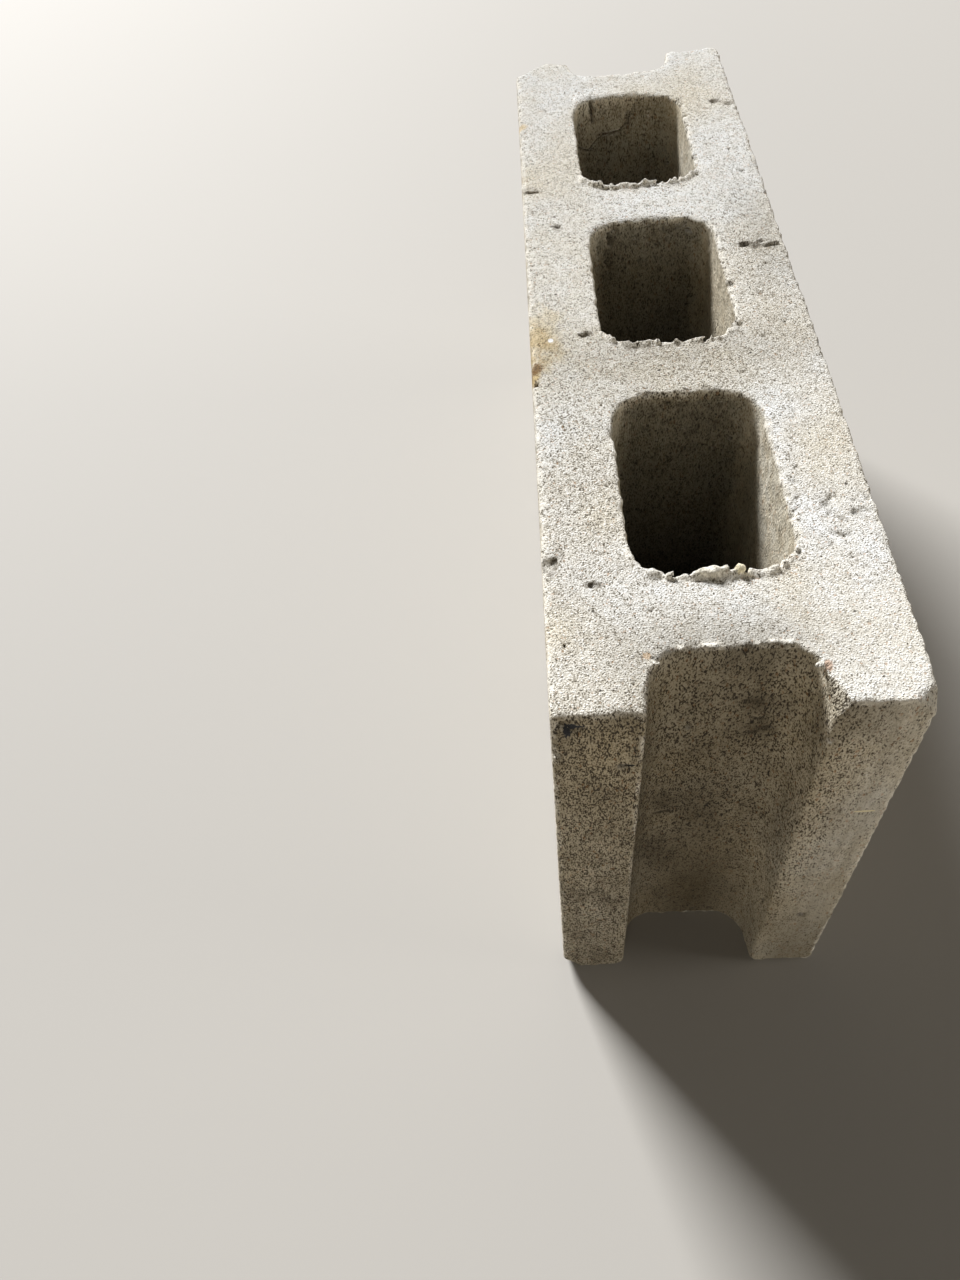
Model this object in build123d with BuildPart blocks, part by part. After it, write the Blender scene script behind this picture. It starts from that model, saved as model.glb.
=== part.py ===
"""A hollow concrete block for walls one hand-width thick: 390 mm long, 190 mm high and 100 mm thick.

The block is cast in one piece from dry concrete in a steel mould. Three cores leave three cells
that run right through it from bed to bed, and a half-open groove in each end makes a fourth cell
with the groove of the next block in the wall. The cores and the groove formers are tapered, so that
the mould lifts off, and the block is laid with its thick-walled bed up, which holds more mortar.

Frame: X along the length, Y through the thickness, Z up, with the origin at the middle of the
lower bed. Sizes are in millimetres.
"""

import math
import os

from build123d import *

# Outer sizes: the 400 by 200 wall module less a 10 mm joint
length = 390.0
thickness = 100.0
height = 190.0

# Walls, as they measure at the upper bed, where the concrete is thickest
face_shell = 26.0
web = 28.0
end_web = 26.0
cell_count = 3

# The cells and the end grooves in plan
cell_corner_radius = 13.0
groove_depth = 20.0
groove_mouth = 49.0
groove_side_angle = 8.0
groove_corner_radius = 10.5

# How far each wall of a cell or groove steps back between the upper bed and the lower one
cell_draft = 2.0
groove_draft = 1.2

# The edges are a little blunt where the mould fills badly
arris_radius = 1.5

# What the walls leave open
cell_length = (length - 2 * (groove_depth + end_web) - (cell_count - 1) * web) / cell_count
cell_width = thickness - 2 * face_shell
cell_pitch = cell_length + web
groove_back = groove_mouth - 2 * groove_depth * math.tan(math.radians(groove_side_angle))

# A former reaches this far past what it cuts, so that no skin is left
overrun = 5.0

upper_bed = Plane.XY.offset(height)


def draft_angle(step_back):
    """The taper, in degrees, that widens a former by step_back over the block's height."""
    return -math.degrees(math.atan2(step_back, height))


# The cores, one for each cell, narrow at the upper bed and wide at the lower one
with BuildPart() as cores:
    with BuildSketch(upper_bed):
        with GridLocations(cell_pitch, 0, cell_count, 1):
            RectangleRounded(cell_length, cell_width, cell_corner_radius)
    extrude(amount=-height, taper=draft_angle(cell_draft))

# The former of one end groove: a slot that opens towards the end, with round inner corners
with BuildPart() as groove_former:
    with BuildSketch(upper_bed) as groove_profile:
        with BuildLine():
            back_x = length / 2 - groove_depth
            mouth_x = length / 2 + overrun
            spread = overrun * math.tan(math.radians(groove_side_angle))
            Polyline(
                (mouth_x, groove_mouth / 2 + spread),
                (back_x, groove_back / 2),
                (back_x, -groove_back / 2),
                (mouth_x, -groove_mouth / 2 - spread),
                close=True,
            )
        make_face()
        inner_corners = groove_profile.vertices().group_by(Axis.X)[0]
        fillet(inner_corners, radius=groove_corner_radius)
    extrude(amount=-height, taper=draft_angle(groove_draft))
    mirror(about=Plane.YZ)

# The block itself: one solid, less the cores and the groove formers
with BuildPart() as concrete_block:
    Box(length, thickness, height, align=(Align.CENTER, Align.CENTER, Align.MIN))
    add(cores.part, mode=Mode.SUBTRACT)
    add(groove_former.part, mode=Mode.SUBTRACT)
    fillet(concrete_block.edges(), radius=arris_radius)

concrete_block.part.label = "concrete_block"

os.makedirs("parts", exist_ok=True)
export_step(concrete_block.part, "parts/concrete_block.step")

litres = concrete_block.part.volume / 1e6
print(f"cells {cell_length:.1f} by {cell_width:.1f} mm at a pitch of {cell_pitch:.1f} mm")
print(f"concrete {litres:.2f} litres")
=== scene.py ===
# %% [markdown]
# # A hollow concrete block, weathered in a volume
#
# The block was pressed from damp, sandy concrete in a steel mould and lifted out at once. So its
# walls show the drag of the steel, its beds are open and sandy, and its edges crumble a little.
# This lesson takes the plain solid of the block, turns it into a volume of distances, wears that
# volume the way the real block is worn, and turns it back into a mesh. A material then gives what
# is finer than the mesh can hold.

# %% Load the frame
import bmesh
import bpy
import numpy as np
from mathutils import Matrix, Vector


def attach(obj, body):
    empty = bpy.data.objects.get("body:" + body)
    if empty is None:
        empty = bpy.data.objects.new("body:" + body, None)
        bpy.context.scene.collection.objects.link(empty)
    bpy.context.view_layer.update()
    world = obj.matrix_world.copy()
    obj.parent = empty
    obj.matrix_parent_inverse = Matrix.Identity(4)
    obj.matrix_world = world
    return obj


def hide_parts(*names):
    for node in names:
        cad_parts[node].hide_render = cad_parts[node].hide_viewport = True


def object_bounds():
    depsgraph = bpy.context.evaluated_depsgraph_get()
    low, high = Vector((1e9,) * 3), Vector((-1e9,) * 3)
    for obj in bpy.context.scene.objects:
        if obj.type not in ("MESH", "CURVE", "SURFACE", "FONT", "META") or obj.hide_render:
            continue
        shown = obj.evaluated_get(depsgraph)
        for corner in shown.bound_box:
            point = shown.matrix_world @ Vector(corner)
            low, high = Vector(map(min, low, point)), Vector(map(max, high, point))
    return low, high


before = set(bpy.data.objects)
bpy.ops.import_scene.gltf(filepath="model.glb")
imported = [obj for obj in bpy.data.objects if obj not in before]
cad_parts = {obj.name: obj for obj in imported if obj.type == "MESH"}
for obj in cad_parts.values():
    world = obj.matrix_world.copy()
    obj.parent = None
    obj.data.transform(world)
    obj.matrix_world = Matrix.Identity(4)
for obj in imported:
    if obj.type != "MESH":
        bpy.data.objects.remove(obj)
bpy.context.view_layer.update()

import openvdb as vdb
from mathutils import Matrix, Vector

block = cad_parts["concrete_block"]
MM = 0.001
length, thickness, height = (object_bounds()[1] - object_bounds()[0]) / MM
print(f"block {length:.0f} by {thickness:.0f} by {height:.0f} mm")

# %% Work out where its cells lie
# The walls, in mm, as the block's drawing has them at the upper bed. All places and amounts
# below are in mm too, in the block's own frame: X along it, Y through it and Z up from the
# middle of its base.
GROOVE_DEPTH, END_WEB, WEB = 20.0, 26.0, 28.0
CELL_WIDTH, CELL_CORNER = 48.0, 13.0
half = length / 2
side = thickness / 2
groove_back = half - GROOVE_DEPTH
cell_length = (length - 2 * (GROOVE_DEPTH + END_WEB + WEB)) / 3
cell_centres = [n * (cell_length + WEB) for n in (-1, 0, 1)]
far_walls = [centre - cell_length / 2 for centre in cell_centres]
print(f"three cells, {cell_length:.1f} by {CELL_WIDTH:.0f} mm")

# %% [markdown]
# ## The camera
#
# The camera stands over one end of the block and looks down along it, as a person does who picks
# the block up. Its place was found by fitting a pinhole camera to the edges of the block, so the
# picture has the same vanishing points as the photograph. Two axes of the camera are given, the
# ways in which its right and its up point, and the third follows from them.

# %% Place the camera
CAMERA_AT = Vector((331.9, -49.0, 403.3)) * MM
CAMERA_RIGHT = Vector((0.0002, 0.9961, -0.0887))
CAMERA_UP = Vector((-0.7944, 0.0540, 0.6050))
FOCAL_PIXELS, PHOTO_LONG_SIDE, SENSOR = 972.4, 1280, 36.0

camera = bpy.data.objects.new("camera", bpy.data.cameras.new("camera"))
bpy.context.scene.collection.objects.link(camera)
bpy.context.scene.camera = camera
back = CAMERA_RIGHT.cross(CAMERA_UP).normalized()
up = back.cross(CAMERA_RIGHT).normalized()
turn = Matrix((CAMERA_RIGHT.normalized(), up, back)).transposed().to_4x4()
camera.matrix_world = Matrix.Translation(CAMERA_AT) @ turn
camera.data.sensor_width = SENSOR
camera.data.lens = FOCAL_PIXELS / PHOTO_LONG_SIDE * SENSOR
camera.data.clip_start = 0.01
print(f"lens {camera.data.lens:.1f} mm")

# %% [markdown]
# ## From solid to volume
#
# A mesh is awkward to break pieces off, because every chip needs its own cut. A volume makes that
# easy. Here each point of a fine grid holds its distance to the surface, negative inside. A chip
# is then the larger of two distances, and a lump the smaller of two. The grid's step of 0.8 mm is
# a coarse grain of sand, the smallest thing that the mesh has to show.

# %% Turn the solid into distances
# The distances reach BAND steps to each side of the surface, and stay the same beyond that.
VOXEL = 0.8
BAND = 8


def solid_as_triangles(item):
    """The vertices, in mm and with doubles joined, and the triangles of a mesh object."""
    mesh = item.data
    mesh.calc_loop_triangles()
    points = np.empty(len(mesh.vertices) * 3, np.float32)
    mesh.vertices.foreach_get("co", points)
    corners = np.empty(len(mesh.loop_triangles) * 3, np.int32)
    mesh.loop_triangles.foreach_get("vertices", corners)
    points, joined = np.unique((points.reshape(-1, 3) / MM).round(3), axis=0, return_inverse=True)
    return points.astype(np.float32), joined[corners].reshape(-1, 3).astype(np.uint32)


grid_scale = vdb.createLinearTransform(voxelSize=VOXEL)
points, triangles = solid_as_triangles(block)
shell = vdb.FloatGrid.createLevelSetFromPolygons(
    points, triangles=triangles, transform=grid_scale, halfWidth=BAND
)
low, high = (np.array(corner) for corner in shell.evalActiveVoxelBoundingBox())
solid = np.empty(high - low + 1, np.float32)
shell.copyToArray(solid, ijk=tuple(int(i) for i in low))
print(f"grid {solid.shape}, {solid.size / 1e6:.1f} million distances")

# %% Give the grid its axes
# Each axis is an array that is long one way only, so that numpy spreads it over the other two.
X, Y, Z = (
    ((low[axis] + np.arange(solid.shape[axis])) * VOXEL).astype(np.float32).reshape(
        [-1 if axis == a else 1 for a in range(3)]
    )
    for axis in range(3)
)
print(f"the grid reaches from {X.min():.0f} to {X.max():.0f} mm along the block")


# %% [markdown]
# ## Random fields
#
# Concrete is random at every size: grains of 1 mm, lumps of 8 mm, uneven filling over 35 mm. Each
# field below is a coarse block of random numbers, made smooth between them with the weights of a
# cubic spline. The seed is fixed, so that every run gives the same block.

# %% A smooth random field
# Each point is an average of four numbers along each axis, so they are drawn from a wider range
# than the field is to have.
AVERAGED, DRAWN_FROM = 4, 1.9


def mottle(size, seed):
    """Random numbers over the grid, about -1 to 1, in smooth blobs of this size in mm."""
    sizes = np.broadcast_to(np.asarray(size, float), 3)
    counts = [int(n * VOXEL / s) + AVERAGED + 1 for n, s in zip(solid.shape, sizes)]
    field = np.random.default_rng(seed).uniform(-DRAWN_FROM, DRAWN_FROM, counts)
    field = field.astype(np.float32)
    for axis in range(3):
        place = np.arange(solid.shape[axis]) * VOXEL / sizes[axis]
        cell = place.astype(int)
        t = (place - cell).astype(np.float32)
        weights = ((1 - t) ** 3, 3 * t**3 - 6 * t**2 + 4, -3 * t**3 + 3 * t**2 + 3 * t + 1, t**3)
        shape = [-1 if axis == a else 1 for a in range(3)]
        field = sum(
            field.take(cell + k, axis) * (weight / 6).reshape(shape)
            for k, weight in enumerate(weights)
        )
    return field


grit = mottle(1.1, 7)
sand = mottle(1.5, 1)
gravel = mottle(3, 2)
lumps = mottle(8, 3)
print(f"lumps range from {lumps.min():.1f} to {lumps.max():.1f}")


# %% An average and a ramp
def blurred(field, reach):
    """The field with each point averaged over a box that reaches this many mm each way."""
    steps = int(round(reach / VOXEL))
    for axis in range(3):
        pad = [(steps + 1, steps) if a == axis else (0, 0) for a in range(3)]
        total = np.pad(field, pad, mode="edge").cumsum(axis, dtype=np.float64)
        size = field.shape[axis]
        upper = total.take(range(2 * steps + 1, 2 * steps + 1 + size), axis)
        field = ((upper - total.take(range(size), axis)) / (2 * steps + 1)).astype(np.float32)
    return field


def ramp(value, start, end):
    """0 before start, 1 after end and even between them."""
    return np.clip((value - start) / (end - start), 0, 1)


print(f"a ramp from 2 to 4 is {ramp(2.5, 2, 4)} at 2.5")

# %% [markdown]
# ## Worn faces and edges
#
# The real block has three kinds of surface. Its beds, above and below, were struck off while the
# concrete was loose, so they are uneven and open. Its walls slid along steel and are smoother, with
# faint upright streaks. Its edges, which masons call arrises, lost grains all along. A displacement
# modifier could do this, but it moves a face only along its normal and can't let a piece fall off.
# In the volume, adding to the distances wears the surface back, wherever the added field is high.

# %% Find the arrises
# An average over a small box is larger than the distance itself only where a convex edge is near.
# A bed's wear ends BED_REACH from it. The plan is the level there, kept from before the wear.
BED_REACH = 4
arris = ramp(blurred(solid, 2.4) - solid, 0.05, 0.7)
upper_bed = ramp(Z, height - BED_REACH, height - 1)
lower_bed = ramp(-Z, -BED_REACH, -1)
bed = np.maximum(upper_bed, lower_bed)
rim_level = int(round((height - BED_REACH) / VOXEL)) - low[2]
plan = solid[:, :, rim_level].copy()
print(f"{100 * (arris > 0.5).mean():.1f}% of the grid lies at an arris")

# %% Wear the beds, the walls and the arrises
# The beds wear most, and whole bits are missing from the arrises beside them.
waves = mottle(35, 4)
streaks = mottle((2.2, 2.2, 24), 5)
solid += bed * (0.1 * sand + 0.1 * gravel + 0.14 * waves + 0.12)
solid += (1 - bed) * (0.06 * streaks + 0.03 * sand + 0.05)
fine_crumble = 0.15 + 0.45 * grit + 0.35 * sand
missing_bits = 0.5 * ramp(gravel, 0.2, 0.9) + 0.8 * ramp(lumps, 0.6, 1.0)
lost = arris * (fine_crumble * (0.5 + 0.5 * bed) + missing_bits * (0.1 + 0.7 * bed))
solid += lost
print(f"the arrises lost up to {lost.max():.1f} mm")

# %% Roughen the upper walls of the cells
# The cores tore the paste there as they were drawn, in short ragged lines. A thin line appears
# wherever a random field passes through zero.
upper_wall = ramp(Z, height - 75, height - 30) * (1 - bed)
inside_cell = ramp(-np.abs(Y), -28, -27) * ramp(-np.abs(X), -155, -154)
facing_end = ramp(-np.abs(Y), -23, -20)
torn = np.exp(-((lumps / 0.07) ** 2)) * ramp(mottle(22, 6), 0.0, 0.5)
solid += upper_wall * inside_cell * (1.3 * torn * facing_end + 0.25 * gravel + 0.3 * sand + 0.2)
print(f"{100 * (torn > 0.5).mean():.1f}% of the grid is torn")

# %% Leave a raised skin in the far cell
# Above a ragged line the skin of paste stayed on and stands proud, with a furrow along its lower
# edge. The line is given by its height at six places across the wall.
torn_edge = np.interp(Y, (-22, -17, -10, -2, 1, 6), (171, 167, 173, 174.5, 178, 189))
skin_line = Z - torn_edge - 0.5 * gravel - 0.3 * grit
at_far_wall = ramp(-np.abs(X - far_walls[0] - 0.5), -5, -4)
far_wall = at_far_wall * ramp(-Y, -7, -5.5) * ramp(Y, -24, -22)
under_skin = np.exp(-(((skin_line + 0.7) / 0.7) ** 2))
solid -= far_wall * (1.3 * ramp(skin_line, 0, 0.8) - 1.6 * under_skin)
print(f"the skin starts {torn_edge.min():.0f} to {torn_edge.max():.0f} mm up")

# %% [markdown]
# ## Chips, crumbs and cracks
#
# What happened to this one block is put where it happened: knocked corners, a broken edge of the
# groove, and the larger pits. Each is a simple form in the volume, such as a ball or a plane, made
# ragged by the same random fields, so that it looks broken and not cut. A boolean cut for each
# would need clean meshes and would take far longer. A second and a third volume note where the
# concrete was broken and where hollows hold dirt and painted shade, for the material to use.

# %% Tools for one place
broken = np.zeros_like(solid)
# The furrow under the raised skin starts it off as painted shade, and each hollow dug below adds dirt
# and painted shade
dirt_and_shade = 0.9 * far_wall * under_skin
dice = np.random.default_rng(11)


def near(centre, reach):
    """The part of the grid that lies within reach of a point, as slices."""
    first = [int(np.floor((c - r) / VOXEL)) - l for c, r, l in zip(centre, reach, low)]
    last = [int(np.ceil((c + r) / VOXEL)) - l + 1 for c, r, l in zip(centre, reach, low)]
    return tuple(
        slice(max(f, 0), max(min(e, n), 0)) for f, e, n in zip(first, last, solid.shape)
    )


def offsets(here, centre):
    """How far each grid point of a part lies from a point, along X, Y and Z."""
    return (
        X[here[0]] - centre[0],
        Y[:, here[1]] - centre[1],
        Z[:, :, here[2]] - centre[2],
    )


print(f"a 5 mm reach takes in {solid[near((half, 0, height), (5, 5, 5))].size} points")


# %% Break off the far left corner
# A break has a point of its plane, the way that the plane faces, and its reach along X, Y and Z.
def break_off(point, facing, reach, rough=1.0):
    """Break off what lies beyond a rough plane through a point, as far as the reach."""
    here = near(point, np.broadcast_to(reach, 3))
    facing = np.array(facing, float) / np.linalg.norm(facing)
    beyond = sum(d * f for d, f in zip(offsets(here, point), facing))
    beyond = beyond + rough * (0.35 * sand[here] + 0.5 * gravel[here] + 0.5 * lumps[here])
    fresh = beyond > solid[here] - VOXEL / 2
    solid[here] = np.maximum(solid[here], beyond)
    broken[here] = np.maximum(broken[here], fresh)


break_off((-half + 8, -side + 8, height), (-0.75, -0.62, 0.22), (24, 24, 60), 1.3)
break_off((-half + 5.5, -26, height), (-0.8, 0.3, 0.5), (9, 9, 14), 1.0)
print(f"{int(broken.sum())} grid points lie at a fresh break")


# %% Dig two hollows into the far edge
def dig(centre, radii, rough=0.0, dark=0.6):
    """Take a rough hollow out of the concrete, and note the dirt and painted shade in it."""
    here = near(centre, [r + 2 for r in np.broadcast_to(radii, 3)])
    dx, dy, dz = offsets(here, centre)
    rx, ry, rz = np.broadcast_to(radii, 3)
    away = np.sqrt((dx / rx) ** 2 + (dy / ry) ** 2 + (dz / rz) ** 2)
    hollow = (1 - away) * min(rx, ry, rz) + rough * (sand[here] + grit[here])
    solid[here] = np.maximum(solid[here], hollow)
    dirt_and_shade[here] = np.maximum(dirt_and_shade[here], dark * ramp(hollow, -0.5, 0.3))


dig((-half - 1.0, 35.5, height - 3), (4.5, 9.5, 14), 0.5, 0.2)
dig((-half - 1.5, -23.5, height - 2), (6.0, 4.5, 12), 0.5, 0.2)
print(f"{int((dirt_and_shade > 0.1).sum())} grid points hold dirt")

# %% Break the other corners and the groove's edge
# The far end first, then the near one from the top down.
break_off((-half + 2, side - 1.5, height), (-0.9, 1.0, 0.3), (8, 5, 14), 0.6)
break_off((half - 5.5, 25.0, height - 2.4), (0.31, -0.86, 0.4), (9, 6, 12), 0.7)
break_off((half - 2.4, side - 2.4, height - 2), (0.6, 0.6, 0.5), (9, 9, 14), 0.6)
break_off((half - 2.5, -side + 2.5, 4), (0.5, -0.6, -0.45), (9, 9, 12), 0.7)
break_off((half - 1.5, -26.5, 2.5), (0.5, 0.6, -0.6), (6, 6, 8), 0.7)
print(f"{int(broken.sum())} grid points do after all the breaks")

# %% [markdown]
# ## Lips around the cells
#
# As the cores were drawn up out of the damp concrete, they squeezed a lip of paste over the near
# rim of each cell, where it hardened into a ragged bead. A curve with a round bevel could stand
# for it, but it would look laid on. In the volume the lip is a half-round along the rim, which
# grows out of the bed, and beads and bites of random size break its outline.

# %% Raise a lip on the near rim of each cell
# The plan says how far the lip's middle is back from the wall of the cell. The lip is a little
# wider than high, and thins out towards both ends of the rim.
BACK, SUNK = 0.7, 0.5
slab = near((0, 0, height), (half, side, 7))
from_middle = -plan[slab[:2]][:, :, None] - BACK
over_middle = Z[:, :, slab[2]] - height + SUNK
for centre, most in zip(cell_centres, (1.2, 0.95, 1.15)):
    beside = (
        ramp(X[slab[0]], centre + 20, centre + 34)
        * ramp(-X[slab[0]], -centre - 46, -centre - 43)
        * ramp(-np.abs(Y[:, slab[1]]), -28, -25)
    )
    size = most * beside * (0.95 + 0.3 * gravel[slab] + 0.3 * lumps[slab])
    lip = np.sqrt((0.9 * from_middle) ** 2 + over_middle**2) - size
    lip = lip + beside * (0.3 * sand[slab] + 0.9 * grit[slab])
    solid[slab] = np.where(beside > 0, np.minimum(solid[slab], lip), solid[slab])
filled = Z[0, 0, solid.min(axis=(0, 1)) < 0]
print(f"three lips raised, up to {filled.max() - height:.1f} mm high")


# %% Stick lumps of paste on the nearest lip
def crumb(centre, radius):
    """Stick a rough crumb of paste to the concrete, as pale as an arris, with its painted highlight.
    """
    here = near(centre, [radius + 3] * 3)
    ball = np.sqrt(sum(d**2 for d in offsets(here, centre))) - radius
    solid[here] = np.minimum(solid[here], ball + 0.5 * sand[here] + 0.9 * grit[here])
    arris[here] = np.maximum(arris[here], ramp(-ball, -1.5, 0))


lumps_on_lip = ((-4.2, 1.5), (-1.2, 1.8), (1.6, 1.3), (6.4, 1.7))
for lump_y, radius in lumps_on_lip:
    crumb((cell_centres[2] + cell_length / 2 - 0.2, lump_y, height + 1.2), radius)
print(f"{len(lumps_on_lip)} lumps on the nearest lip")

# %% Bite into one long rim of each cell
BITES = 40
for centre in cell_centres:
    for _ in range(BITES):
        bite_x = centre + dice.uniform(-34, 36)
        bite = (bite_x, CELL_WIDTH / 2 + dice.normal(0.3, 0.5), height + dice.normal(0, 0.6))
        dig(bite, dice.uniform(0.7, 1.5, 3), 0.35, 0.3)
print(f"{BITES * len(cell_centres)} bites")


# %% String beads along the lips
BEADS = 30


def near_rim(centre, y):
    """How far along X the near rim of a cell lies, with its round corners."""
    into_corner = max(abs(y) - (CELL_WIDTH / 2 - CELL_CORNER), 0)
    return centre + cell_length / 2 - CELL_CORNER + np.sqrt(CELL_CORNER**2 - into_corner**2)


for centre, most in zip(cell_centres, (1.1, 0.75, 1.0)):
    for _ in range(BEADS):
        bead_y = dice.uniform(-22, 22)
        bead = (near_rim(centre, bead_y) + 0.5, bead_y, height + dice.uniform(0.2, 0.9))
        crumb(bead, dice.uniform(0.5, 1.0) * most)
print(f"{BEADS * len(cell_centres)} beads")

# %% Break up the rim of the near groove
# Of the marks on it, some are bites and the others crumbs.
RIM_MARKS, BITE_SHARE = 70, 0.7
for _ in range(RIM_MARKS):
    rim_y = dice.uniform(-22.8, 22.8)
    rim_x = groove_back + np.interp(abs(rim_y), (11, 16, 20, 22.8), (0, 1, 4, 11))
    if dice.random() < BITE_SHARE:
        dig((rim_x, rim_y, height + dice.normal(0, 0.4)), dice.uniform(0.5, 1.3, 3), 0.35, 0.5)
    else:
        crumb((rim_x - 0.6, rim_y, height - 0.2), dice.uniform(0.5, 0.9))
print(f"{RIM_MARKS} marks on the groove's rim")

# %% [markdown]
# ## Cracks and pits
#
# The steel tore the skin of the walls here and there, and left short ragged cracks. Air bubbles
# left round pits, and a few lumps of the bed broke out. The small pits are scattered by chance over
# the whole surface, and the large ones are set one by one, because the eye finds them again at once.


# %% Tear the skin of the walls
HOLLOW_STEP = 0.7


def tear(wall, points, width=0.6, depth=0.9, stray=0.15):
    """Open a ragged crack in the wall at this X, along points of Y and Z, by small hollows."""
    corners = [np.array((wall, *point), float) for point in points]
    for start, end in zip(corners, corners[1:]):
        steps = int(np.linalg.norm(end - start) / HOLLOW_STEP) + 1
        for step in range(steps):
            centre = start + (end - start) * step / steps + dice.normal(0, stray, 3)
            dig(centre, np.maximum(depth * dice.uniform(0.6, 1.3, 3), width), 0.25)


skin_x = far_walls[0] + 1.7
tear(skin_x, [(-15.9, 188.7), (-14.0, 185.4), (-14.4, 181.7), (-12.5, 179)])
tear(skin_x, [(-3.6, 186), (-3.0, 182)])
middle_x = far_walls[1] + 0.3
tear(middle_x, [(1.7, 187), (3.2, 181)])
tear(middle_x, [(5.8, 186), (8.3, 184), (15.3, 187)], 0.7, 1.2)
tear(middle_x, [(-17.5, 173), (-14, 169), (-6.6, 170.6), (-1, 172)], 0.5, 0.7)
tear(far_walls[2] + 0.2, [(1.9, 172), (7.3, 173.6)])
print("cracks opened in the far walls of three cells")

# %% Crack the back of the near groove
tear(groove_back, [(10.2, 153.4), (11.6, 152.2), (13.9, 152.4)], 0.5, 0.8, 0.3)
tear(groove_back, [(10.2, 144.6), (12.2, 145.4), (14.2, 147.6), (16.2, 148.4)], 0.6, 0.9, 0.3)
tear(groove_back, [(-15.9, 94.6), (-9.8, 95.5)], 0.6, 0.8)
tear(groove_back, [(-16.5, 71), (-12.5, 73)], 0.6, 0.7)
tear(groove_back, [(-7.6, 178.9), (-3.3, 179.5), (1.6, 183.7), (3.5, 188)], 0.4, 0.4)
print("five cracks opened in the groove")

# %% Pit the walls near their rims
IN_NEAR_CELL, IN_MIDDLE_CELL, BESIDE_NEAR_CELL = 26, 30, 14
for _ in range(IN_NEAR_CELL):
    pit = (far_walls[2], dice.uniform(-12, 20), dice.uniform(162, 188))
    dig(pit, dice.uniform(0.6, 1.3, 3), 0.4)
for _ in range(IN_MIDDLE_CELL):
    pit = (far_walls[1], dice.uniform(-18, 20), dice.uniform(178, 189))
    dig(pit, dice.uniform(0.6, 1.5, 3), 0.4)
for _ in range(BESIDE_NEAR_CELL):
    pit = (dice.uniform(100, 142), dice.uniform(25.5, 30), height + 0.4)
    dig(pit, dice.uniform(0.6, 1.2, 3), 0.4, 0.3)
print(f"{IN_NEAR_CELL + IN_MIDDLE_CELL + BESIDE_NEAR_CELL} pits near the rims")

# %% Open holes in the skin of the far cell
# Each has its Y and Z, and its radii.
skin_holes = (
    ((1.9, 180), (1.5, 1.5, 3.2)),
    ((-7.6, 173.2), (1.5, 4.0, 1.2)),
    ((-15.6, 184), (1.5, 0.9, 5.0)),
    ((-18.4, 168.6), (1.5, 2.4, 1.3)),
)
for (hole_y, hole_z), radii in skin_holes:
    dig((far_walls[0] + 0.4, hole_y, hole_z), radii, 0.3, 1.0)
print(f"{len(skin_holes)} holes in the skin")

# %% Scatter small pits
# Few of them are large, because the fourth power of a random number is mostly near zero. Those in
# the upper bed stay small, since the large ones there are listed.
SMALL_PITS, SMALLEST = 1300, 0.45
on_surface = np.argwhere(np.abs(solid) < VOXEL / 2)
picks = on_surface[dice.integers(len(on_surface), size=SMALL_PITS)]
for pick in picks:
    centre = (pick + low) * VOXEL
    radius = SMALLEST + (0.2 if centre[2] > height - 2 else 0.6) * dice.random() ** 4
    dig(centre + dice.normal(0, 0.2, 3), radius * dice.uniform(0.8, 1.6, 3), 0.3, 0.2)
print(f"{len(picks)} small pits")

# %% Set the large pits one by one
# Those in the bed have their X and Y, and those in the near end their Y and Z, and their radii.
pits_in_bed = (
    ((-17.5, 34.5), (1.5, 2.6, 1.6)),
    ((-15.8, 38.5), (1.8, 2.6, 1.9)),
    ((-15.2, 42.5), (1.1, 2.0, 1.2)),
    ((-15.6, 45.8), (1.3, 2.0, 1.5)),
    ((-18.5, 41.0), (1.2, 1.4, 1.2)),
    ((-41, -36.6), (1.8, 1.6, 1.2)),
    ((32.3, -30.4), (1.1, 2.0, 1.3)),
    ((58.5, -49.2), (1.3, 2.4, 1.7)),
    ((-137, 40.5), (1.9, 2.4, 1.1)),
    ((-133, 45.8), (1.6, 2.8, 1.1)),
    ((142, -48.2), (3.2, 3.4, 1.8)),
    ((151, -35), (1.2, 1.6, 1.4)),
    ((163, -39.5), (1.1, 1.3, 1.3)),
    ((-69.5, -47), (1.2, 4.4, 2.0)),
)
pits_in_end = (
    ((-44.5, 184.5), (1.6, 3.4, 1.8)),
    ((-29.8, 163.2), (1.4, 2.6, 0.9)),
    ((-49.4, 170.3), (1.8, 1.3, 2.2)),
    ((38.4, 48.5), (1.5, 1.6, 1.3)),
)
for (pit_x, pit_y), radii in pits_in_bed:
    dig((pit_x, pit_y, height), radii, 0.6, 0.85)
for (pit_y, pit_z), radii in pits_in_end:
    dig((half, pit_y, pit_z), radii, 0.6)
print(f"{len(pits_in_bed)} large pits in the bed and {len(pits_in_end)} in the end")

# %% Roughen one patch of the bed
# Here the concrete crumbled when the mould was lifted.
PATCH_PITS = 16
for _ in range(PATCH_PITS):
    pit = (dice.uniform(120, 139), dice.uniform(35, 49), height + 0.7)
    dig(pit, dice.uniform(1.0, 1.9, 3), 0.8, 0.3)
print(f"{PATCH_PITS} shallow pits in the patch")

# %% [markdown]
# ## From volume back to mesh
#
# The surface lies where the distance is zero. OpenVDB finds it with one small face in each cell of
# the grid that the surface crosses. That gives far more faces than flat stretches need, so Decimate
# joins them there and keeps them at the chips. Smooth shading hides the seams between them.


# %% Find the surface
def as_mesh(name):
    """A mesh object of the volume's surface, in the frame's metres."""
    grid = vdb.FloatGrid(BAND * VOXEL)
    grid.transform = grid_scale
    grid.copyFromArray(solid, ijk=tuple(int(i) for i in low))
    points, triangles, quads = grid.convertToPolygons(isovalue=0.0, adaptivity=0.0)
    mesh = bpy.data.meshes.new(name)
    faces = [tuple(q[::-1]) for q in quads.tolist()] + [tuple(t[::-1]) for t in triangles.tolist()]
    mesh.from_pydata((points * MM).tolist(), [], faces)
    mesh.shade_smooth()
    item = bpy.data.objects.new(name, mesh)
    bpy.context.scene.collection.objects.link(item)
    return item


skin = as_mesh("weathered_block")
print(f"{len(skin.data.polygons)} faces before thinning")

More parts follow.
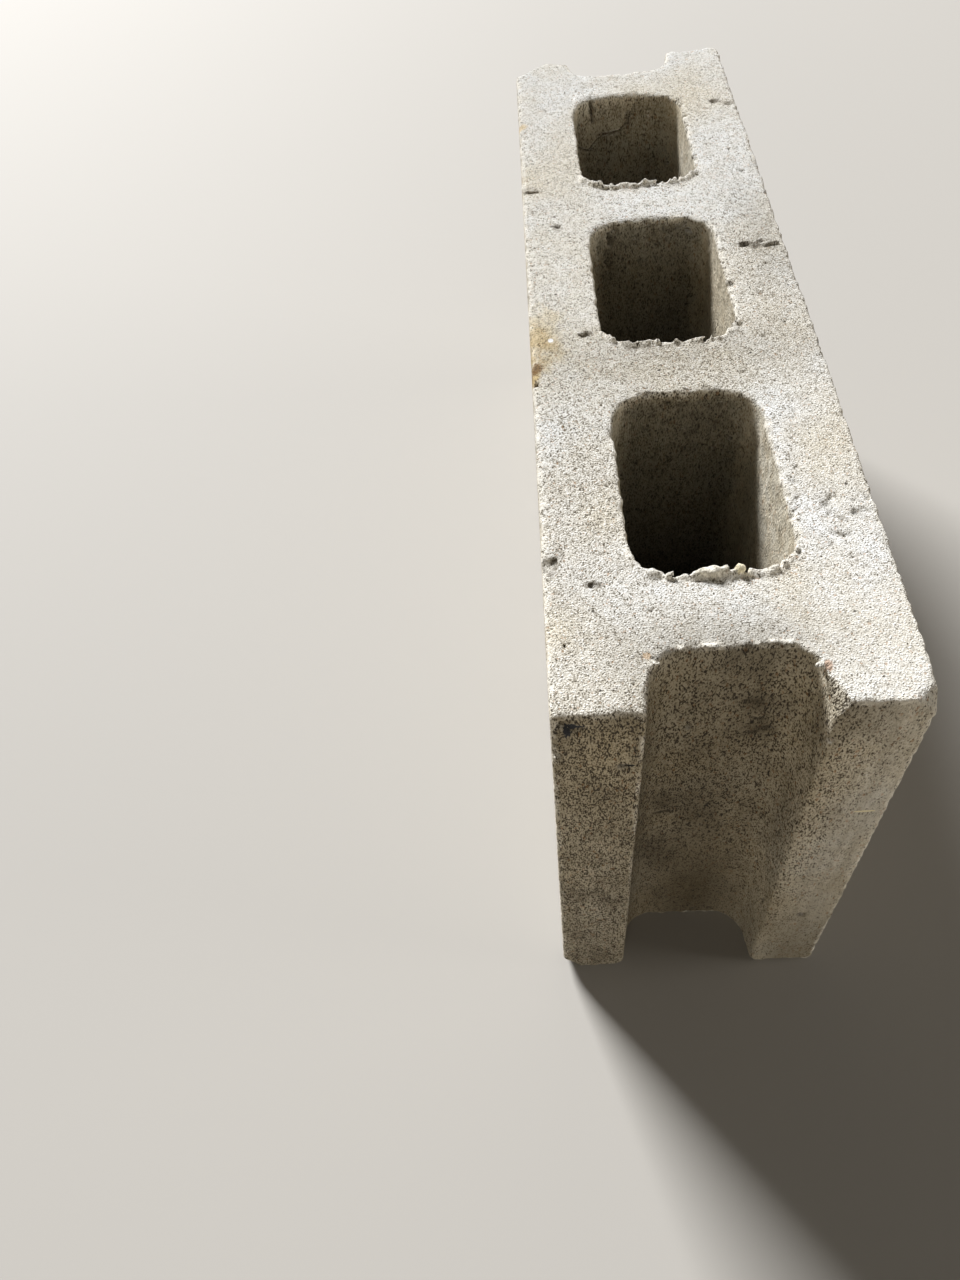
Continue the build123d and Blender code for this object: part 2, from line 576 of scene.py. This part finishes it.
# %% Thin the mesh
# The faces have four corners so far, so each counts as two triangles.
MOST_TRIANGLES = 195000
thin = skin.modifiers.new("thin", "DECIMATE")
thin.ratio = MOST_TRIANGLES / (2 * len(skin.data.polygons))
view = bpy.context.evaluated_depsgraph_get()
thinned = bpy.data.meshes.new_from_object(skin.evaluated_get(view))
skin.modifiers.clear()
skin.data = thinned
print(f"{len(skin.data.polygons)} faces after")

# %% Drop the bits that hang free
# A crumb can come loose from the surface, and a pit can close into a bubble. The two ends of an
# edge share the lower of their numbers, again and again, until each connected piece has one.
ends = np.empty(len(skin.data.edges) * 2, np.int32)
skin.data.edges.foreach_get("vertices", ends)
ends = ends.reshape(-1, 2)
piece = np.arange(len(skin.data.vertices))
while True:
    lowest = piece.copy()
    np.minimum.at(lowest, ends[:, 0], piece[ends[:, 1]])
    np.minimum.at(lowest, ends[:, 1], piece[ends[:, 0]])
    lowest = lowest[lowest]
    if (lowest == piece).all():
        break
    piece = lowest
loose = piece != np.bincount(piece).argmax()
shape = bmesh.new()
shape.from_mesh(skin.data)
shape.verts.ensure_lookup_table()
bmesh.ops.delete(shape, geom=[shape.verts[i] for i in np.flatnonzero(loose)], context="VERTS")
shape.to_mesh(skin.data)
shape.free()
print(f"{loose.sum()} loose corners dropped, {len(skin.data.polygons)} faces left")

# %% Let it stand for the solid
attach(skin, "root")
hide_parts("concrete_block")
print(f"{skin.name} stands for concrete_block")

# %% [markdown]
# ## What the material has to know
#
# A material sees only a point and its normal. It can't tell a bed from a wall, or a fresh break
# from old skin. So each vertex carries a few numbers that say so, and an Attribute node reads them
# by name. Masks could be painted by hand instead, but these come from the same volume that shaped
# the mesh, so dirt and painted shade lie in the pits, and pale paste with a painted highlight on
# the arrises, without any mask painted.

# %% Read the mesh
vertices = np.empty(len(skin.data.vertices) * 3, np.float32)
skin.data.vertices.foreach_get("co", vertices)
vertices = vertices.reshape(-1, 3) / MM
normals = np.empty(len(vertices) * 3, np.float32)
skin.data.vertex_normals.foreach_get("vector", normals)
across, along, upward = np.abs(normals.reshape(-1, 3)).T
x, y, z = vertices.T
print(f"{len(vertices)} vertices")

# %% Three ways to fill in a number
carried = []


def carry(name, values):
    """Give each vertex a number that the material can read."""
    attribute = skin.data.attributes.new(name, "FLOAT", "POINT")
    attribute.data.foreach_set("value", values.astype(np.float32))
    carried.append(name)


def at_vertices(field):
    """The field's value where each vertex lies."""
    index = np.round(vertices / VOXEL - low).astype(int)
    return field[tuple(np.clip(index, 0, np.array(field.shape) - 1).T)]


def zones(*spots):
    """The sum of soft spots, each a centre, a reach along X, Y and Z, and a strength."""
    total = np.zeros(len(vertices))
    for centre, reach, strength in spots:
        total += strength * np.exp(-(((vertices - centre) / reach) ** 2).sum(1))
    return total


carry("broken", at_vertices(blurred(broken, 0.8)))
carry("dirt_and_shade", at_vertices(dirt_and_shade))
print(f"carried so far: {', '.join(carried)}")

# %% Tell the faces apart
# Beds are level. The core's skin lines the cells, the two faces of the block are its shells, and
# its ends are rougher than both. The brownish skin that the mould left is fullest in the cells
# and on the ends.
bed_face = ramp(upward, 0.35, 0.75)
in_cell = ramp(-np.abs(y), -27, -25) * ramp(-np.abs(x), -153, -152)
on_shell = ramp(along, 0.5, 0.9) * ramp(np.abs(y), side - 4, side - 2)
on_end = ramp(np.abs(x), groove_back - 3, groove_back - 1) * (1 - on_shell)
web_wall = ramp(across, 0.5, 0.9)
below_rim = ramp(height - z, 1, 5)
# One stretch of the near end, on its right leg, has less of it, so it is lighter
lighter_stretch = zones(((195, 40, 135), (10, 12, 80), 0.85))
mould_skin = 0.7 + 0.3 * (in_cell + on_end) - lighter_stretch
raised_skin = 0.4 * at_vertices(far_wall * ramp(skin_line, 0, 0.8))
far_away = ramp(-x, 100, 140) * (0.3 + 0.7 * raised_skin)
carry("bed_face", bed_face)
carry("mould_skin", np.clip(mould_skin, 0, 1) * (1 - bed_face))
carry("cored", in_cell * below_rim)
# Painted shade on the cell walls that face along the block, with less of it in the far cell
carry("web_wall", in_cell * below_rim * web_wall * (1 - far_away))
# Painted shade deep in the cells, darkest 60 to 70 mm above the base and fading out towards the rim
# and the base
carry("depth", in_cell * ramp(height - z, 20, 120) * ramp(z, 5, 60))
print(f"{100 * bed_face.mean():.0f}% of the vertices lie on a bed")

# %% Find the pale arrises and their painted highlight
# Freshly rubbed paste is pale, and along the arrises that paleness is also a painted highlight.
# Three places in shade are left mostly without it.
arrises_in_shade = zones(
    ((195, 25, 90), (8, 5, 180), 0.9),
    ((195, -25, 20), (8, 5, 90), 0.8),
    ((-148, 0, 172), (5, 40, 14), 1.5),
)
carry("arris", at_vertices(arris) * (1 - np.clip(arrises_in_shade, 0, 0.9)))
print(f"{100 * (at_vertices(arris) > 0.5).mean():.0f}% of the vertices lie on an arris")

# %% Say where it is warm
# Warmth turns the paste from cool grey to sand, and below zero it makes it cooler.
warmth = zones(
    ((46, -8, 190), (17, 60, 40), 1.0),
    ((45, -50, 190), (22, 9, 30), 0.8),
    ((60, 30, 190), (10, 12, 30), 0.5),
    ((-58, -8, 190), (16, 45, 30), -0.9),
    ((-100, 45, 190), (60, 14, 20), -0.5),
    ((165, 42, 190), (40, 16, 20), -0.2),
    ((120, -40, 190), (60, 14, 20), 0.1),
    ((185, -25, 90), (14, 8, 110), 1.0),
    ((195, 40, 90), (12, 14, 110), -0.3),
    ((170, -10, 190), (30, 40, 10), -0.6),
    ((185, 20, 60), (14, 9, 60), -0.5),
    ((110, 27, 178), (40, 5, 24), -1.2),
)
carry("warmth", warmth)
print(f"warmth from {warmth.min():.1f} to {warmth.max():.1f}")

# %% Say where it is smeared
# Smear closes the grain, where the mould wiped wet paste over it, and below zero it opens it.
smear = zones(
    ((195, 45, 100), (10, 10, 130), 1.1),
    ((195, 34, 20), (10, 10, 60), 0.5),
    ((182, 5, 15), (16, 26, 55), 0.9),
    ((195, -38, 100), (8, 22, 180), -0.25),
    ((175, 35, 190), (26, 22, 10), 0.6),
    ((100, 38, 190), (90, 12, 10), 0.15),
    ((105, -38, 190), (60, 12, 10), -0.4),
    ((0, 38, 190), (60, 14, 10), -0.4),
    ((54, 0, 190), (16, 30, 10), -0.4),
    ((-190, 0, 90), (20, 60, 140), 0.5),
)
side_wall = in_cell * ramp(along, 0.5, 0.9)
smear += (0.8 * on_shell + 0.6 * side_wall) * (1 - bed_face)
carry("smear", smear)
print(f"smear from {smear.min():.1f} to {smear.max():.1f}")

# %% Say where it is grimy, and where shade is painted
# A smudge is grime that hands and soil left. The wide ones over the groove and at the foot of the
# near end are painted shade, darker into the groove and towards the bottom.
carry("smudge_and_shade", zones(
    ((175, 10, 162), (4, 5, 3.5), 0.5),
    ((175, 13, 148), (4, 5, 5), 0.5),
    ((175, -13, 103), (6, 5, 6), 0.3),
    ((175, -14, 60), (6, 7, 16), 0.25),
    # These five are painted shade: over the groove, into its bottom and at the foot of both legs
    ((172, 0, 90), (10, 26, 150), 0.6),
    ((185, -25, 90), (14, 8, 140), 0.3),
    ((176, 5, 5), (14, 26, 60), 0.55),
    ((195, 42, 0), (10, 14, 60), 0.55),
    ((195, -38, 0), (10, 14, 70), 0.3),
    ((46, 5, 190), (16, 60, 12), 0.25),
    ((-22, 42, 190), (40, 10, 12), 0.25),
    ((68, 9, 177), (6, 13, 8), 0.3),
    ((68, -14, 185), (6, 8, 6), 0.25),
    ((-40, 9, 171), (6, 12, 8), 0.3),
    ((-40, -17, 176), (6, 5, 14), 0.3),
))
print(f"each vertex carries {len(carried)} numbers")

# %% [markdown]
# ## The concrete
#
# The common name is dry-cast concrete: damp sand, cement and a little fine gravel, shaken and
# pressed in a steel mould and lifted out at once. To the eye that gives a matt, dry stone with no
# sheen at all. Cement paste coats each grain of sand pale, the gaps between grains are dark, and
# here and there a grain shows its own colour, dark or ochre. A photograph of concrete would tile
# and stretch over the walls, so the grain is worked out at each point from its place in mm.

# %% One function adds a node
concrete = bpy.data.materials.new("dry_cast_concrete")
concrete.use_nodes = True
tree = concrete.node_tree
surface = tree.nodes["Principled BSDF"]
# The first and second colour of a Mix node are its inputs 6 and 7, and their mix its output 2
UNDER, OVER, MIXED = 6, 7, 2


def add(kind, inputs=(), **settings):
    """A new node with its settings, and with its inputs set to numbers or linked to nodes."""
    made = tree.nodes.new("ShaderNode" + kind)
    for name, value in settings.items():
        setattr(made, name, value)
    for name, value in dict(inputs).items():
        if isinstance(value, bpy.types.Node):
            value = value.outputs[MIXED if value.type == "MIX" else 0]
        if isinstance(value, bpy.types.NodeSocket):
            tree.links.new(value, made.inputs[name])
        else:
            made.inputs[name].default_value = value
    return made


def paint(code):
    """An sRGB hex colour as the linear colour that Blender works in."""
    parts = [int(code[i : i + 2], 16) / 255 for i in (1, 3, 5)]
    return (*[p / 12.92 if p <= 0.04045 else ((p + 0.055) / 1.055) ** 2.4 for p in parts], 1.0)


print(f"middle grey #808080 is {paint('#808080')[0]:.3f} in linear light")

# %% Read the place and the carried numbers
mm = add("VectorMath", {0: add("TexCoord").outputs["Object"], "Scale": 1 / MM}, operation="SCALE")
at = {name: add("Attribute", attribute_name=name).outputs["Fac"] for name in carried}
print(f"the material reads {len(at)} numbers")

# %% [markdown]
# ### Grain and pores
#
# The sand is mostly 0.2 to 2 mm. Its finest grains are thinner than a pixel here, so the finest
# noise is drawn at 0.5 mm. Single grains are Voronoi cells of 0.68 mm, a medium sand, because noise
# alone has no edges and looks like cloth. Clumps of paste and sand are noise of 1.9 mm. Where the
# three together are low there is a gap between grains, and the limit for that shifts with how
# densely the mould was filled over 17 mm. Air pores are cells of 5.5 mm with a hole in some of
# them, which is up to 1.4 mm across.

# %% Mix the grain
# Grains are drawn out to twice their height, because the mould slid upwards over them. Most
# patterns read a place that is moved off, so that they don't lie in step with the finest one.
DRAWN_OUT = 2
FINEST, GRAIN, CLUMP = 0.5, 0.68, 1.9
MIDDLE, CONTRAST = 0.5, 1.5
stretched = add("VectorMath", {0: mm, 1: (1.0, 1.0, 1 / DRAWN_OUT)}, operation="MULTIPLY")
moved_off = add("VectorMath", {0: stretched, 1: (31.7, 12.9, 5.3)})
fine = add("TexNoise", {"Vector": stretched, "Scale": 1 / FINEST, "Detail": 1.0, "Roughness": 0.55})
sandy = add("TexNoise", {"Vector": moved_off, "Scale": 1 / CLUMP, "Detail": 3.0, "Roughness": 0.6})
grains = add("TexVoronoi", {"Vector": moved_off, "Scale": 1 / GRAIN})
grain_dice = add("SeparateColor", {0: grains.outputs["Color"]})
grain_tint = add("MapRange", {"Value": grain_dice, "To Min": 0.36, "To Max": 0.64})
grain = MIDDLE * (1 - CONTRAST)
for pattern, share in ((sandy, 0.18), (fine, 0.47), (grain_tint, 0.35)):
    weighted = {0: pattern, 1: share * CONTRAST, 2: grain}
    grain = add("Math", weighted, operation="MULTIPLY_ADD")
print(f"grain of {FINEST}, {GRAIN} and {CLUMP} mm mixed")

# %% Open the gaps between the grains
# The limit is lower, and the gaps are fewer, on smeared skin, in the cells and on the beds.
FILLING = 17
filling = add("TexNoise", {"Vector": mm, "Scale": 1 / FILLING, "Detail": 3.0})
gap_limit = add("MapRange", {
    "Value": filling, "From Min": 0.35, "From Max": 0.65, "To Min": 0.355, "To Max": 0.375,
})
for name, shift in (("smear", -0.06), ("cored", -0.06), ("bed_face", -0.02)):
    gap_limit = add("Math", {0: at[name], 1: shift, 2: gap_limit}, operation="MULTIPLY_ADD")
gap_floor = add("Math", {0: gap_limit, 1: 0.08}, operation="SUBTRACT")
gap = add("MapRange", {"Value": grain, "From Min": gap_limit, "From Max": gap_floor})
print(f"gaps opened, unevenly over {FILLING} mm")

# %% Open the pores
# The distance is measured in cells, so a pore's radius is too. A random number for each cell gives
# it, and leaves the lowest four tenths of the cells with hardly any pore.
PORE_CELL, LARGEST = 5.5, 0.13
pores = add("TexVoronoi", {"Vector": moved_off, "Scale": 1 / PORE_CELL})
pore_dice = add("SeparateColor", {0: pores.outputs["Color"]})
pore_edge = add("MapRange", {
    "Value": pore_dice, "From Min": 0.4, "From Max": 1.0, "To Min": 0.02, "To Max": LARGEST,
})
pore_core = add("Math", {0: pore_edge, 1: 0.05}, operation="SUBTRACT")
pore_distance = pores.outputs["Distance"]
pore = add("MapRange", {"Value": pore_distance, "From Min": pore_edge, "From Max": pore_core})
void = add("Math", {0: gap, 1: pore}, operation="MAXIMUM")
print(f"pores up to {2 * LARGEST * PORE_CELL:.1f} mm across")

# %% [markdown]
# ### Colour
#
# Dry cement paste is a pale grey, from cool where it is clean to the colour of sand where soil
# has stained it. The hollows between grains hold shadow and dust. So the colour runs from a dark
# hollow to pale paste as the grain rises, and single grains are laid over that. The colour of what
# lies on top, such as grime and the skin that the mould left, is multiplied in, as a thin wash of
# paint would be. Painted shade is multiplied in the same way: deep in the cells, on their web
# walls, over the groove and in the hollows.

# %% Colour the paste
TINT_PATCH, CLOUD = 50, 7
tint = add("TexNoise", {"Vector": mm, "Scale": 1 / TINT_PATCH, "Detail": 4, "Roughness": 0.55})
warmed = add("Math", {0: at["warmth"], 1: 0.15, 2: tint}, operation="MULTIPLY_ADD")
cool_to_warm = add("MapRange", {"Value": warmed, "From Min": 0.36, "From Max": 0.68})
paste_inputs = {"Factor": cool_to_warm, UNDER: paint("#F4F5F4"), OVER: paint("#E5DDCA")}
paste = add("Mix", paste_inputs, data_type="RGBA")
cloud = add("TexNoise", {"Vector": mm, "Scale": 1 / CLOUD, "Detail": 5, "Roughness": 0.65})
clouding = add("MapRange", {"Value": cloud, "From Min": 0.42, "From Max": 0.62, "To Max": 0.4})
clouding = add("Math", {0: clouding, 1: at["cored"], 2: clouding}, operation="MULTIPLY_ADD")
cloudy_inputs = {"Factor": clouding, UNDER: paste, OVER: paint("#D6CFC1")}
cloudy = add("Mix", cloudy_inputs, data_type="RGBA")
print(f"paste from cool grey to sand over {TINT_PATCH} mm, clouded over {CLOUD} mm")

# %% Darken the hollows
# Where the grain is below tone_from it is all hollow, and above tone_to all paste. Each kind of
# surface shifts these two, so that its grain shows more or less.
tone_from, tone_to = 0.4, 0.51
for name, shift in (("bed_face", -0.04), ("smear", -0.12), ("cored", -0.08), ("broken", 0.06)):
    tone_from = add("Math", {0: at[name], 1: shift, 2: tone_from}, operation="MULTIPLY_ADD")
for name, shift in (("bed_face", -0.03), ("smear", -0.06)):
    tone_to = add("Math", {0: at[name], 1: shift, 2: tone_to}, operation="MULTIPLY_ADD")
grain_tone = add("MapRange", {"Value": grain, "From Min": tone_from, "From Max": tone_to})
hollow_inputs = {"Factor": at["bed_face"], UNDER: paint("#4F4638"), OVER: paint("#8F8675")}
hollow = add("Mix", hollow_inputs, data_type="RGBA")
toned_inputs = {"Factor": grain_tone, UNDER: hollow, OVER: cloudy}
colour = add("Mix", toned_inputs, data_type="RGBA")
print("hollows darkened, on the walls more than on the beds")

# %% Lay single grains over it
# A grain's random colour decides by its green and blue parts whether it is dark or ochre. The
# tops of all grains are the palest.
dark_inputs = {"Value": grain_dice.outputs["Green"], "From Min": 0.9, "From Max": 0.95, "To Max": 0.4}
ochre_inputs = {"Value": grain_dice.outputs["Blue"], "From Min": 0.96, "From Max": 0.98, "To Max": 0.5}
pale_inputs = {"Value": grain, "From Min": 0.52, "From Max": 0.66, "To Max": 0.85}
void_strength = add("Math", {0: at["cored"], 1: -0.3, 2: 0.9}, operation="MULTIPLY_ADD")
for amount, code in (
    (add("MapRange", dark_inputs), "#978C7C"),
    (add("MapRange", ochre_inputs), "#BE9468"),
    (add("MapRange", pale_inputs), "#FCFBF8"),
    (add("Math", {0: void, 1: void_strength}, operation="MULTIPLY"), "#4A4236"),
):
    colour = add("Mix", {"Factor": amount, UNDER: colour, OVER: paint(code)}, data_type="RGBA")
print("dark, ochre and pale grains, and dark voids")

# %% Find the drag marks
# Upright streaks, 3.5 mm wide, that the mould left where it smeared the skin of a wall.
STREAK_WIDTH, STREAK_LENGTH = 3.5, 58
drawn = (1.0, 1.0, STREAK_WIDTH / STREAK_LENGTH)
drags = add("VectorMath", {0: mm, 1: drawn}, operation="MULTIPLY")
drag_mark = add("TexNoise", {"Vector": drags, "Scale": 1 / STREAK_WIDTH, "Detail": 2.0})
drag_amount = add("MapRange", {"Value": drag_mark, "From Min": 0.4, "From Max": 0.7, "To Max": 0.45})
on_skin = add("MapRange", {"Value": at["smear"], "From Min": 0.2, "From Max": 0.8})
on_wall = add("Math", {0: on_skin, 1: at["bed_face"]}, operation="SUBTRACT", use_clamp=True)
drag_amount = add("Math", {0: drag_amount, 1: on_wall}, operation="MULTIPLY")
print(f"drag marks {STREAK_WIDTH} mm wide")

# %% Find the grime
# It settled in patches on the ends of the block. The cells, the smeared skin and the beds have
# little of it or none.
GRIME_PATCH = 15
grime_inputs = {"Vector": moved_off, "Scale": 1 / GRIME_PATCH, "Detail": 3.0, "Roughness": 0.6}
grime = add("TexNoise", grime_inputs)
grime_amount = add("MapRange", {"Value": grime, "From Min": 0.44, "From Max": 0.66, "To Max": 0.5})
in_reach = add("Math", {0: at["cored"], 1: -0.75, 2: 1.0}, operation="MULTIPLY_ADD")
in_reach = add("Math", {0: on_skin, 1: -0.65, 2: in_reach}, operation="MULTIPLY_ADD")
in_reach = add("Math", {0: in_reach, 1: at["bed_face"]}, operation="SUBTRACT", use_clamp=True)
grime_amount = add("Math", {0: grime_amount, 1: in_reach}, operation="MULTIPLY")
print(f"grime in patches of {GRIME_PATCH} mm")

# %% Wash it with skin, grime and painted shade
# Painted shade comes in with the web walls, the depth of the cells, the wide smudges and the dirt in
# hollows; the smudges and that dirt are partly real grime too
washes = (
    (at["mould_skin"], "#E0D9C9"),
    (at["web_wall"], "#B7B8B6"),
    (at["depth"], "#3C362C"),
    (at["smudge_and_shade"], "#7B7464"),
    (at["dirt_and_shade"], "#7A705F"),
    (drag_amount, "#C1BCB0"),
    (grime_amount, "#8F8775"),
)
for amount, code in washes:
    wash = {"Factor": amount, UNDER: colour, OVER: paint(code)}
    colour = add("Mix", wash, data_type="RGBA", blend_type="MULTIPLY")
print(f"{len(washes)} washes laid")

# %% Rub the arrises pale, as wear and painted highlight
rubbed_highlight = add("MapRange", {"Value": at["arris"], "From Min": 0.35, "From Max": 0.75, "To Max": 0.95})
patchy = add("MapRange", {"Value": cloud, "From Min": 0.42, "From Max": 0.6})
for part in (grain_tone, patchy):
    rubbed_highlight = add("Math", {0: rubbed_highlight, 1: part}, operation="MULTIPLY")
colour = add("Mix", {"Factor": rubbed_highlight, UNDER: colour, OVER: paint("#F6F2E8")}, data_type="RGBA")
print("arrises rubbed pale")

# %% [markdown]
# ### Spots
#
# A few marks belong to this block alone: tar on one corner, ochre stains where iron in the gravel
# rusted, two coloured stones in the rim and one straw-coloured scratch. Each is an ellipsoid around
# a place on the surface, with its edge made ragged by a noise, so it needs no texture map. A stain
# soaks in, so it is multiplied with the colour under it. Tar and stones cover what they lie on.


# %% Stain the concrete
# A spot has a centre, a reach along X, Y and Z, a colour, how ragged its edge is and a strength.
# The pattern is mostly between 0.35 and 0.6, and the edge moves in and out with it.
def spot(under, centre, reach, code, ragged, strength, pattern=fine, blend="MIX"):
    """The colour with one spot laid over it, in mm, and its edge torn by a pattern."""
    from_centre = add("VectorMath", {0: mm, 1: centre}, operation="SUBTRACT")
    scaled = add("VectorMath", {0: from_centre, 1: reach}, operation="DIVIDE")
    away = add("VectorMath", {0: scaled}, operation="LENGTH").outputs["Value"]
    uneven = add("Math", {0: pattern, 1: ragged * 4, 2: away}, operation="MULTIPLY_ADD")
    edge = {"From Min": 1 + ragged * 2.3, "From Max": 1 + ragged * 1.4, "To Max": strength}
    inside = add("MapRange", {"Value": uneven, **edge})
    spotted = {"Factor": inside, UNDER: under, OVER: paint(code)}
    return add("Mix", spotted, data_type="RGBA", blend_type=blend)


stains = (
    ((33, -45, 190), (18, 8, 8), "#F1E4C4", 0.6),
    ((35, -47, 190), (9, 6, 6), "#EBDAB0", 0.55),
    ((50, -49, 190), (3.4, 2.4, 4), "#A08250", 0.85),
    ((54.5, -49, 190), (4.5, 2.4, 4), "#E3CC94", 0.85),
    ((-128, -49, 189), (4, 3, 4), "#E2C893", 0.7),
)
for centre, reach, code, strength in stains:
    colour = spot(colour, centre, reach, code, 0.7, strength, cloud, "MULTIPLY")
print(f"{len(stains)} stains")

# %% Paint the spots
# The crack colour is painted shade in cracks of the groove's back that are too narrow for the mesh
TAR, CRACK_SHADE, GRIME = "#25262A", "#3A3326", "#4A4334"
spots = (
    ((195, -43.8, 184.6), (3, 3.4, 1.6), TAR, 0.4, 1.0),
    ((195, -45.4, 182.6), (3, 1.2, 2.6), TAR, 0.4, 1.0),
    ((195, -29.0, 163.2), (3, 2.2, 0.6), "#1C1A18", 0.1, 1.0),
    ((175, 12.0, 152.6), (3, 2.2, 0.7), CRACK_SHADE, 0.7, 0.7),
    ((175, 11.4, 145.1), (3, 1.8, 0.7), CRACK_SHADE, 0.7, 0.7),
    ((175, 14.6, 147.7), (3, 1.8, 1.0), CRACK_SHADE, 0.8, 0.7),
    ((175, 9.6, 162.6), (3, 3.6, 1.3), GRIME, 1.0, 0.55),
    ((175, -12.6, 95), (3, 3.4, 0.9), CRACK_SHADE, 0.3, 0.75),
    ((175, -13.5, 71.8), (3, 3.2, 0.8), GRIME, 0.4, 0.7),
    ((176.7, -22.9, 190), (1.2, 1.3, 3), "#CDAE86", 0.3, 0.6),
    ((182.2, 23.7, 188.8), (1.9, 1.3, 1.9), "#C4A58C", 0.25, 0.8),
    ((34.5, -42.5, 190), (1.2, 1.0, 2), "#FFFFFF", 0.2, 1.0),
    ((149, -2, 192), (3, 4.5, 2), "#F1EBDA", 0.5, 0.6),
    ((148.6, 6.6, 192), (2.4, 2.2, 2), "#F5ECCB", 0.3, 0.8),
    ((195, 43, 130), (3, 3.2, 0.6), "#FFF8DC", 0.01, 1.0),
)
for centre, reach, code, ragged, strength in spots:
    colour = spot(colour, centre, reach, code, ragged, strength)
tree.links.new(colour.outputs[MIXED], surface.inputs["Base Color"])
print(f"{len(spots)} spots, and {len(tree.nodes)} nodes so far")

# %% [markdown]
# ### Relief and finish
#
# What stands up and what lies back is the same grain that gave the colour, so light and paint
# agree. The Bump node turns its height, in mm, into a tilt of the normal. The broken faces are the
# roughest. Concrete is matt: roughness is close to 1, the IOR of 1.5 is that of quartz and cement,
# and a high diffuse roughness flattens its shading, as dust and dry stone do.

# %% Raise the grain
# Each grain is a small dome, up to 0.22 mm high, on the uneven paste. Voids lie 0.35 mm back.
rise = add("Math", {0: at["broken"], 1: 0.7, 2: 0.5}, operation="MULTIPLY_ADD")
dome = add(
    "MapRange",
    {"Value": grains.outputs["Distance"], "From Min": 0.1, "From Max": 0.6, "To Min": 1, "To Max": 0},
    interpolation_type="SMOOTHSTEP",
)
dome_height = add("Math", {0: grain_dice, 1: 0.22}, operation="MULTIPLY")
relief = add("Math", {0: grain, 1: rise}, operation="MULTIPLY")
relief = add("Math", {0: dome, 1: dome_height, 2: relief}, operation="MULTIPLY_ADD")
relief = add("Math", {0: void, 1: -0.35, 2: relief}, operation="MULTIPLY_ADD")
bump = add("Bump", {"Height": relief, "Distance": MM, "Strength": 1.0})
tree.links.new(bump.outputs[0], surface.inputs["Normal"])
print("grain, domes and voids raised")

# %% Make it matt
surface.inputs["Roughness"].default_value = 0.92
surface.inputs["IOR"].default_value = 1.5
surface.inputs["Diffuse Roughness"].default_value = 0.6
skin.data.materials.clear()
skin.data.materials.append(concrete)
print(f"{concrete.name} has {len(tree.nodes)} nodes")

# %% [markdown]
# ## Floor and light
#
# The block stands on a plain floor beside a large window. The window lamp is far off and wide, so
# it rakes over the beds and leaves the walls in soft shade. A weak warm lamp in front and one at
# the side stand for the light that a room throws back. The floor and the world look pale, but they
# throw little light on the block: a ray from the camera, or one that a mirror or glass would send
# on, meets the pale colour, and all other rays meet a darker one.


# %% Lay the floor
def seen():
    """1 for rays from the camera, a mirror or glass, and 0 for the light that lands elsewhere."""
    path = add("LightPath").outputs
    sent_on = add("Math", {0: path["Is Glossy Ray"], 1: path["Is Transmission Ray"]})
    return add("Math", {0: path["Is Camera Ray"], 1: sent_on}, use_clamp=True)


bpy.ops.mesh.primitive_plane_add(size=8)
floor = bpy.context.object
floor.name = "floor"
floor_paint = bpy.data.materials.new("matt_floor_paint")
floor_paint.use_nodes = True
tree = floor_paint.node_tree
floor_inputs = {"Factor": seen(), UNDER: paint("#7A7162"), OVER: paint("#ABA8A3")}
shown = add("Mix", floor_inputs, data_type="RGBA")
tree.links.new(shown.outputs[MIXED], tree.nodes["Principled BSDF"].inputs["Base Color"])
tree.nodes["Principled BSDF"].inputs["Roughness"].default_value = 0.8
floor.data.materials.append(floor_paint)
print("floor laid")


# %% Hang the lamps
def lamp(name, place, size, power, code="#FFFFFF"):
    """A square soft lamp, in metres and watts, that looks at the middle of the block."""
    data = bpy.data.lights.new(name, "AREA")
    data.size = size
    data.energy = power
    data.color = paint(code)[:3]
    item = bpy.data.objects.new(name, data)
    bpy.context.scene.collection.objects.link(item)
    item.location = place
    block_middle = Vector((0, 0, 0.1))
    item.rotation_euler = (block_middle - item.location).to_track_quat("-Z", "Y").to_euler()


lamp("window", (-7.4, -4.4, 6.6), 3.4, 2680)
lamp("room", (2.7, -0.5, 0.65), 1.0, 14.0, "#FFF4E2")
lamp("side", (0.3, 2.6, 0.7), 1.0, 20, "#FFF8EE")
print(f"{len(bpy.data.lights)} lamps")

# %% Fill the world
world = bpy.data.worlds.new("world")
bpy.context.scene.world = world
world.use_nodes = True
tree = world.node_tree
world_inputs = {"Factor": seen(), UNDER: paint("#302D27"), OVER: paint("#D9D7D3")}
backdrop = add("Mix", world_inputs, data_type="RGBA")
tree.links.new(backdrop.outputs[MIXED], tree.nodes["Background"].inputs["Color"])
bpy.context.scene.view_settings.view_transform = "Standard"
print("world filled")
